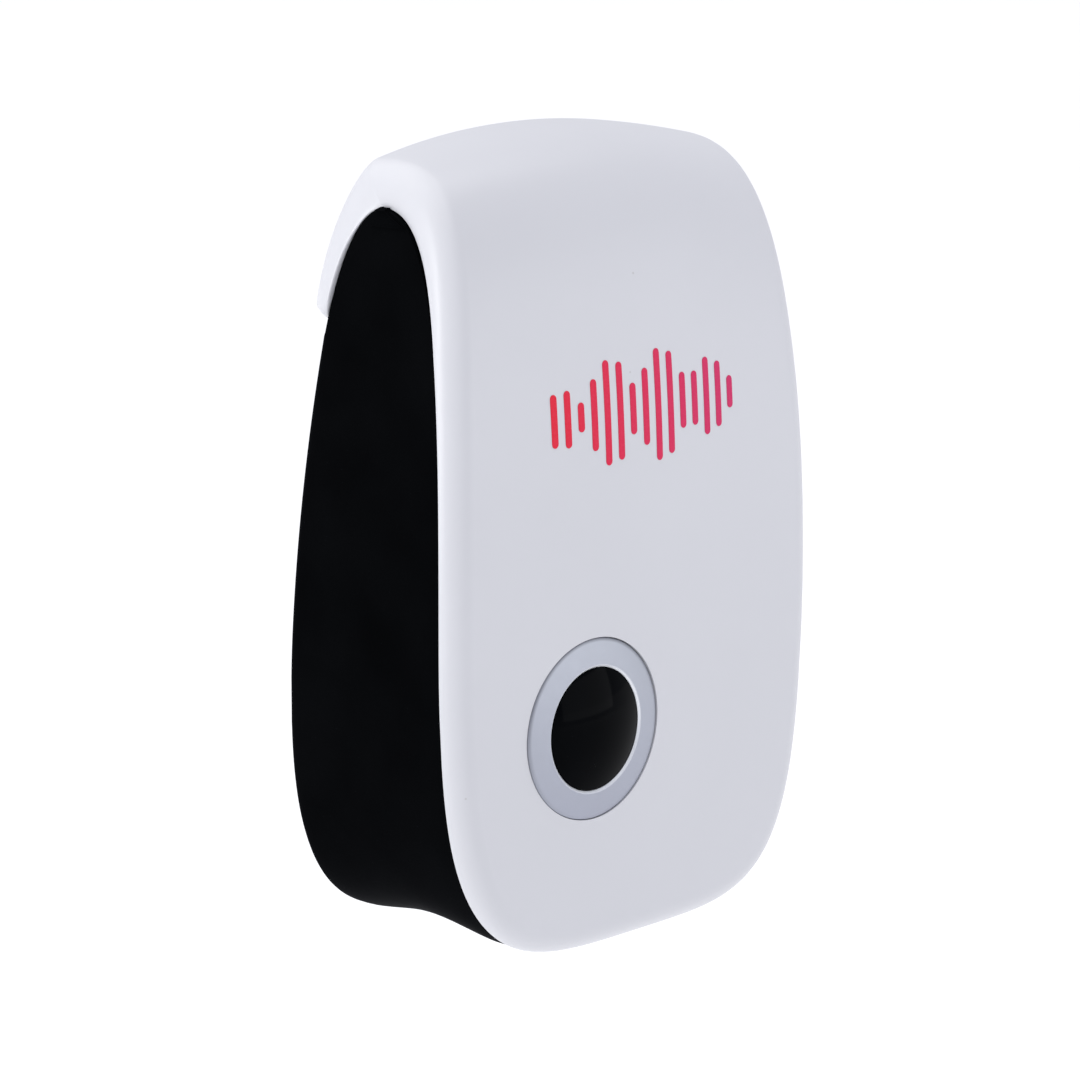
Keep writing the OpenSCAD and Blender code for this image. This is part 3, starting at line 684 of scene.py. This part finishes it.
def make_label():
    """Blank film on the back, with rounded corners."""
    a = np.radians(np.linspace(-90, 90, LABEL_STEPS))
    high = (label_high[2] - label_low[2]) / 2
    middle = (label_high[2] + label_low[2]) / 2 - TIP_Z
    corner = 2 / LABEL_POWER
    half = np.stack([
        label_high[0] * np.maximum(np.cos(a), 0) ** corner,
        middle + high * np.sign(a) * np.abs(np.sin(a)) ** corner,
    ], -1)
    half[[0, -1], 0] = 0
    outline = ring(half)
    fill = fill_rows(outline, LABEL_COLUMNS)

    def laid(p, lift):
        return np.stack([p[..., 0], back_y(p[..., 1]) + lift, p[..., 1]], -1)

    back = ([laid(outline, LABEL_BACK)], laid(fill, LABEL_BACK))
    front = ([laid(outline, LABEL_FRONT)], laid(fill, LABEL_FRONT))
    return closed_shell("label", *back, *front)


def make_plug_base():
    """Round base with a softened edge round its flat back."""
    wide = PLUG_R + FLANGE_W
    flange = [(0, FLANGE_FRONT_Y), (wide, FLANGE_FRONT_Y), (wide, FLANGE_BACK_Y), (PLUG_R, FLANGE_BACK_Y)]
    edge = arc((PLUG_R - PLUG_EDGE_R, -PLUG_EDGE_R), PLUG_EDGE_R, 0, 90, 8)
    return lathe("plug_base", np.vstack([flange, edge, [(0, 0)]]), PLUG_CENTRE, TO_WALL)


BARS = 15
BAR_W = 1.1
BAR_END_W = 0.02
BAR_LOW = 0.3
BAR_TURN = 137
BAR_TAPER = 0.55
BAR_ROWS = 40
BAR_COLUMNS = 6
INK_LIFT = 0.02
INK_THICK = 0.03


def bar_share(i):
    """A bar's height, uneven from bar to bar and lower towards the ends of the row."""
    middle = (BARS - 1) / 2
    uneven = BAR_LOW + (1 - BAR_LOW) * abs(math.cos(math.radians(BAR_TURN * i)))
    return uneven * (1 - BAR_TAPER * ((i - middle) / middle) ** 2)


def make_mark():
    """A row of rounded bars of uneven height, laid on the cover's face."""
    width = print_high[0] - print_low[0]
    height = print_high[2] - print_low[2]
    centre = (print_low[2] + print_high[2]) / 2 - TIP_Z
    rows, columns = BAR_ROWS, BAR_COLUMNS
    r = BAR_W / 2
    vertices = []
    faces = []
    shares = [bar_share(i) for i in range(BARS)]
    for i, share in enumerate(shares):
        tall = height * share / max(shares)
        x0 = (i - (BARS - 1) / 2) * (width - BAR_W) / (BARS - 1)
        z = -np.cos(np.linspace(0, math.pi, rows + 1)) * tall / 2
        over = np.maximum(0, np.abs(z) - (tall / 2 - r))
        w = np.maximum(np.sqrt(np.maximum(r * r - over * over, 0)), BAR_END_W)
        x = x0 + w[:, None] * np.linspace(-1, 1, columns + 1)[None]
        s = np.repeat((centre + z)[:, None], columns + 1, 1)
        first = sum(len(v) for v in vertices)
        count = (rows + 1) * (columns + 1)
        for depth in (-INK_LIFT - INK_THICK, -INK_LIFT):
            vertices.append(on_face(x, s, depth).reshape(-1, 3))
        for k in range(rows):
            for c in range(columns):
                a = first + k * (columns + 1) + c
                quad = (a, a + 1, a + columns + 2, a + columns + 1)
                faces.append(quad)
                faces.append(tuple(v + count for v in reversed(quad)))
        border = [k * (columns + 1) for k in range(rows + 1)]
        border += [rows * (columns + 1) + c for c in range(1, columns + 1)]
        border += [k * (columns + 1) + columns for k in range(rows - 1, -1, -1)]
        border += [c for c in range(columns - 1, 0, -1)]
        for a, b in zip(border, border[1:] + border[:1]):
            faces.append((first + a, first + b, first + b + count, first + a + count))
    return tidy(new_piece("mark", np.vstack(vertices), faces))


# ---------------------------------------------------------------- materials


class Shader:
    """A node material with one Principled shader, and short calls for the nodes round it."""

    def __init__(self, name, roughness, metallic=0.0, specular=0.5, coat=0.0):
        self.material = bpy.data.materials.new(name)
        self.material.use_nodes = True
        self.tree = self.material.node_tree
        self.principled = self.tree.nodes["Principled BSDF"]
        self.set("Metallic", metallic)
        self.set("Roughness", roughness)
        self.set("Specular IOR Level", specular)
        self.set("Coat Weight", coat)
        self.place = self.node("ShaderNodeTexCoord").outputs["Object"]

    def node(self, kind, **values):
        made = self.tree.nodes.new(kind)
        for key, value in values.items():
            setattr(made, key, value)
        return made

    def set(self, name, value):
        self.principled.inputs[name].default_value = value

    def link(self, output, target):
        self.tree.links.new(output, target)

    def noise(self, scale, detail=3.0, roughness=0.5):
        made = self.node("ShaderNodeTexNoise")
        made.inputs["Scale"].default_value = scale
        made.inputs["Detail"].default_value = detail
        made.inputs["Roughness"].default_value = roughness
        self.link(self.place, made.inputs["Vector"])
        return made.outputs["Fac"]

    def ramp(self, value, stops):
        made = self.node("ShaderNodeValToRGB")
        elements = made.color_ramp.elements
        for element, (position, colour) in zip(elements, stops):
            element.position = position
            element.color = (*colour, 1)
        for position, colour in stops[2:]:
            element = elements.new(position)
            element.color = (*colour, 1)
        self.link(value, made.inputs["Fac"])
        return made.outputs["Color"]

    def span(self, value, low, high, start=0.0, stop=1.0):
        made = self.node("ShaderNodeMapRange")
        for name, number in zip(("From Min", "From Max", "To Min", "To Max"), (start, stop, low, high)):
            made.inputs[name].default_value = number
        self.link(value, made.inputs["Value"])
        return made.outputs["Result"]

    def mix(self, factor, a, b):
        made = self.node("ShaderNodeMix", data_type="RGBA")
        self.link(factor, made.inputs["Factor"])
        for socket, value in ((made.inputs["A"], a), (made.inputs["B"], b)):
            if isinstance(value, tuple):
                socket.default_value = (*value, 1)
            else:
                self.link(value, socket)
        return made.outputs["Result"]

    def bump(self, *layers):
        """Each layer is a height output, a strength and a distance in metres."""
        normal = None
        for height, strength, distance in layers:
            made = self.node("ShaderNodeBump")
            made.inputs["Strength"].default_value = strength
            made.inputs["Distance"].default_value = distance
            self.link(height, made.inputs["Height"])
            if normal:
                self.link(normal, made.inputs["Normal"])
            normal = made.outputs["Normal"]
        self.link(normal, self.principled.inputs["Normal"])

    def colour(self, output):
        self.link(output, self.principled.inputs["Base Color"])

    def rough(self, output):
        self.link(output, self.principled.inputs["Roughness"])


def shade(colour, factor):
    return tuple(min(1.0, c * factor) for c in colour)


def moulded(name, colour, roughness, grain=2500, grain_depth=4e-6, specular=0.5, coat=0.0):
    """Moulded plastic: faint tone drift, fine grain and slightly uneven gloss."""
    s = Shader(name, roughness, specular=specular, coat=coat)
    s.colour(s.ramp(s.noise(35, 4), [(0.3, shade(colour, 0.95)), (0.7, shade(colour, 1.05))]))
    s.rough(s.span(s.noise(180, 4), roughness * 0.88, roughness * 1.12))
    s.bump((s.noise(grain, 2), 0.6, grain_depth), (s.noise(90, 2), 0.25, 2e-5))
    return s.material


def metal(name, colour, roughness):
    """Satin metal or plating: handling marks, fine grain and uneven gloss."""
    s = Shader(name, roughness, metallic=1.0)
    s.colour(s.ramp(s.noise(220, 5, 0.6), [(0.3, shade(colour, 0.94)), (0.7, shade(colour, 1.06))]))
    s.rough(s.span(s.noise(900, 3), roughness * 0.8, roughness * 1.25))
    s.bump((s.noise(4000, 2), 0.4, 2e-6))
    return s.material


def cover_plastic():
    """White shell: soft satin moulding with a faint cool tone and a few specks of dust."""
    base = (0.556, 0.56, 0.592)
    s = Shader("white_moulding", 0.36, specular=0.45)
    tone = s.ramp(s.noise(22, 4), [(0.3, shade(base, 0.985)), (0.7, shade(base, 1.015))])
    cells = s.node("ShaderNodeTexVoronoi", feature="F1")
    cells.inputs["Scale"].default_value = 95
    s.link(s.place, cells.inputs["Vector"])
    speck = s.span(cells.outputs["Distance"], 0.5, 0, 0.011, 0.019)
    s.colour(s.mix(speck, tone, (0.34, 0.33, 0.32)))
    s.rough(s.span(s.noise(140, 5, 0.6), 0.31, 0.42))
    s.bump((s.noise(1500, 3), 0.35, 5e-6), (s.noise(70, 2), 0.2, 3e-5))
    return s.material


def housing_plastic():
    """Black shell: spark-eroded grain that breaks the light into fine points."""
    s = Shader("black_grain", 0.42, specular=0.0008)
    tone = s.ramp(s.noise(60, 5), [(0.3, (0.0010, 0.0011, 0.0013)), (0.7, (0.0020, 0.0022, 0.0026))])
    s.colour(tone)
    s.rough(s.span(s.noise(300, 4), 0.36, 0.5))
    s.bump((s.noise(2300, 3, 0.6), 0.9, 1.6e-5), (s.noise(900, 2), 0.5, 1.4e-5))
    s.set("Sheen Weight", 0.008)
    s.set("Sheen Roughness", 0.45)
    s.set("Sheen Tint", (0.75, 0.8, 1.0, 1.0))
    return s.material


def plug_plastic():
    """Black plug plastic, a little glossier than the housing's grain."""
    return moulded("black_plug", (0.006, 0.006, 0.007), 0.42, specular=0.12)


def dome_plastic():
    """Tinted window: near black, polished, with faint dust in its gloss."""
    s = Shader("tinted_gloss", 0.06, specular=0.019)
    s.colour(s.ramp(s.noise(120, 3), [(0.3, (0.0007, 0.0009, 0.0013)), (0.7, (0.0012, 0.0015, 0.0021))]))
    s.rough(s.span(s.noise(1400, 5, 0.7), 0.05, 0.11))
    s.bump((s.noise(400, 2), 0.1, 4e-6))
    return s.material


# Widths of a painted shadow band along the ring's outer edge.
GROOVE_SHADOW_W = 0.55
GROOVE_SHADOW_CORE_W = 0.2
# Widths of a painted highlight along the ring's inner lip.
LIP_HIGHLIGHT_W = 0.5
LIP_HIGHLIGHT_CORE_W = 0.3


def ring_metal():
    """Satin silver paint with a fine flake. Painted light: lighter towards the top, a painted shadow
    along the outer edge that is darkest at the top, and a painted highlight on the lip.
    """
    s = Shader("satin_silver", 0.42, metallic=0.45, specular=0.4)
    centre = in_frame(BEZEL_CENTRE)
    apart = s.node("ShaderNodeSeparateXYZ")
    s.link(s.place, apart.inputs["Vector"])
    low = centre[2] - BEZEL_R * MM
    high = centre[2] + BEZEL_R * MM
    # Painted light: the silver is ramped lighter towards the top, as if lit from above.
    height = s.span(apart.outputs["Z"], 0, 1, low, high)
    tone = s.ramp(height, [(0.0, (0.335, 0.35, 0.415)), (1.0, (0.40, 0.42, 0.47))])
    tone = s.mix(s.span(s.noise(300, 5, 0.6), 0, 0.12, 0.3, 0.7), tone, (0.30, 0.31, 0.35))
    from_centre = s.node("ShaderNodeVectorMath", operation="DISTANCE")
    s.link(s.place, from_centre.inputs[0])
    from_centre.inputs[1].default_value = tuple(centre)
    radius = from_centre.outputs["Value"]
    # Painted shadow: a dark band just inside the ring's outer edge, darkest at the top, stands for the
    # shadow of the seat's upper edge.
    groove_shadow = s.span(radius, 0, 1, (BEZEL_R - GROOVE_SHADOW_W) * MM, (BEZEL_R - GROOVE_SHADOW_CORE_W) * MM)
    groove_shadow_at_top = s.node("ShaderNodeMath", operation="MULTIPLY")
    s.link(groove_shadow, groove_shadow_at_top.inputs[0])
    s.link(s.span(height, 0.05, 0.75), groove_shadow_at_top.inputs[1])
    tone = s.mix(groove_shadow_at_top.outputs["Value"], tone, (0.13, 0.135, 0.16))
    # Painted highlight: the inner lip next to the dome is painted bright, standing for a glint on its
    # bevel.
    lip_highlight = s.span(radius, 1, 0, (DOME_R + LIP_HIGHLIGHT_CORE_W) * MM, (DOME_R + LIP_HIGHLIGHT_W) * MM)
    s.colour(s.mix(lip_highlight, tone, (0.8, 0.82, 0.86)))
    s.rough(s.span(s.noise(700, 3), 0.36, 0.48))
    s.bump((s.noise(6000, 2), 0.25, 2e-6))
    return s.material


INK_FADE_HALF = 18


def ink():
    """Printed ink that shifts from red to a pinker red across the row."""
    s = Shader("crimson_ink", 0.4, specular=0.2)
    apart = s.node("ShaderNodeSeparateXYZ")
    s.link(s.place, apart.inputs["Vector"])
    across = s.span(apart.outputs["X"], 0, 1, -INK_FADE_HALF * MM, INK_FADE_HALF * MM)
    tone = s.ramp(across, [(0.0, (0.66, 0.004, 0.026)), (1.0, (0.53, 0.012, 0.11))])
    speckle = s.span(s.noise(3000, 3), 0.0, 0.25, 0.45, 0.75)
    s.colour(s.mix(speckle, tone, (0.7, 0.045, 0.11)))
    s.bump((s.noise(2600, 2), 0.3, 3e-6))
    return s.material


def laminate():
    """Board: woven glass shows as a fine crossed grain."""
    s = Shader("board_laminate", 0.45)
    weave = s.node("ShaderNodeTexWave", bands_direction="X")
    weave.inputs["Scale"].default_value = 420
    weave.inputs["Distortion"].default_value = 1.5
    s.link(s.place, weave.inputs["Vector"])
    s.colour(s.ramp(weave.outputs["Fac"], [(0.2, (0.50, 0.38, 0.17)), (0.8, (0.62, 0.48, 0.24))]))
    s.bump((weave.outputs["Fac"], 0.2, 1e-5))
    return s.material


def record_material(slot):
    """A material for an inner CAD node, from the record's own colour and class."""
    name, colour, kind = slot["slot"], tuple(slot["base_color"][:3]), slot["class"]
    if kind in ("aluminium", "brass", "brushed_steel", "chrome"):
        return metal(name, colour, 0.28)
    if kind == "rubber":
        return moulded(name, colour, 0.6, grain=3500, grain_depth=6e-6)
    if kind == "gloss_plastic":
        return moulded(name, colour, 0.18, grain_depth=1e-6, coat=0.2)
    return moulded(name, colour, 0.5)


# ---------------------------------------------------------------- pieces and materials

SPECIAL = {
    "white_cover": cover_plastic,
    "black_housing": housing_plastic,
    "tinted_dome": dome_plastic,
    "plug_plastic": plug_plastic,
    "silver_ring": ring_metal,
    "crimson_ink": ink,
    "board_laminate": laminate,
}
record = frame["record"]
materials = {
    m["slot"]: SPECIAL[m["slot"]]() if m["slot"] in SPECIAL else record_material(m)
    for m in record["materials"]
}
for part in record["subparts"]:
    node = frame["nodes"][part["node"]]
    node.data.materials.clear()
    node.data.materials.append(materials[part["material_slot"]])

finished(make_cover(), materials["white_cover"], "white_cover", "front_cover")
finished(make_housing(), materials["black_housing"], "black_housing", "rear_housing")
finished(make_ring(), materials["silver_ring"], "silver_ring", "bezel_ring")
finished(make_dome(), materials["tinted_dome"], "tinted_dome", "dome_lens")
finished(make_mark(), materials["crimson_ink"], "crimson_ink", "front_print")
finished(make_label(), materials["label_film"], "label_film", "rating_label")
finished(make_plug_base(), materials["plug_plastic"], "plug_plastic", "plug_base")

# ---------------------------------------------------------------- floor, light and camera

FLOOR_HALF = 20.0
FLOOR_DROP = 0.12
CAMERA_AT = (-0.3417, -0.3482, 0.0978)
CAMERA_AIM = (0.00061, -0.01563, -0.00029)
CAMERA_LENS = 122.98
CAMERA_SENSOR = 36
OVERHEAD_TILT = (-18, -14, 0)


def make_floor():
    low = cad_bounds[0].z - FLOOR_DROP
    mesh = bpy.data.meshes.new("floor")
    signs = ((-1, -1), (1, -1), (1, 1), (-1, 1))
    corners = [(x * FLOOR_HALF, y * FLOOR_HALF, low) for x, y in signs]
    mesh.from_pydata(corners, [], [(0, 1, 2, 3)])
    floor = bpy.data.objects.new("floor", mesh)
    bpy.context.scene.collection.objects.link(floor)
    s = Shader("floor_paper", 0.9, specular=0.1)
    s.colour(s.ramp(s.noise(3, 2), [(0.3, (0.96, 0.96, 0.96)), (0.7, (0.975, 0.975, 0.975))]))
    mesh.materials.append(s.material)


def aim(item, target):
    item.rotation_euler = (Vector(target) - item.location).to_track_quat("-Z", "Y").to_euler()


def softbox(name, place, target, size, watts, colour=(1, 1, 1)):
    data = bpy.data.lights.new(name, "AREA")
    data.shape = "RECTANGLE"
    data.size, data.size_y = size
    data.energy = watts
    data.color = colour
    light = bpy.data.objects.new(name, data)
    light.location = place
    aim(light, target)
    bpy.context.scene.collection.objects.link(light)


def make_world(strength, colour):
    world = bpy.data.worlds.new("studio")
    world.use_nodes = True
    background = world.node_tree.nodes["Background"]
    background.inputs["Color"].default_value = (*colour, 1)
    background.inputs["Strength"].default_value = strength
    bpy.context.scene.world = world


def overhead(strength, colour, spread):
    """One very soft light from above, which keeps the floor evenly white as far as it is seen."""
    data = bpy.data.lights.new("overhead", "SUN")
    data.energy = strength
    data.color = colour
    data.angle = math.radians(spread)
    light = bpy.data.objects.new("overhead", data)
    light.rotation_euler = [math.radians(angle) for angle in OVERHEAD_TILT]
    bpy.context.scene.collection.objects.link(light)


def make_camera():
    data = bpy.data.cameras.new("camera")
    data.lens = CAMERA_LENS
    data.sensor_width = CAMERA_SENSOR
    data.clip_end = 50
    camera = bpy.data.objects.new("camera", data)
    camera.location = CAMERA_AT
    aim(camera, CAMERA_AIM)
    bpy.context.scene.collection.objects.link(camera)
    bpy.context.scene.camera = camera


make_floor()
overhead(1.3, (1.0, 0.985, 0.95), 70)
softbox("front", (0.62, -0.99, 0.1), (0, 0, -0.02), (0.95, 0.44), 1.8)
softbox("left", (-1.1, 0.35, 0.1), (0, 0, 0), (0.25, 0.7), 6.2, (1.0, 1.0, 0.98))
softbox("high", (0.1, -0.2, 0.8), (0, 0, 0), (0.9, 0.4), 1.7)
make_world(0.7, (0.955, 0.97, 1.05))
make_camera()
bpy.context.scene.view_settings.view_transform = "Standard"


def plain(bounds):
    return [[float(v) for v in corner] for corner in bounds]
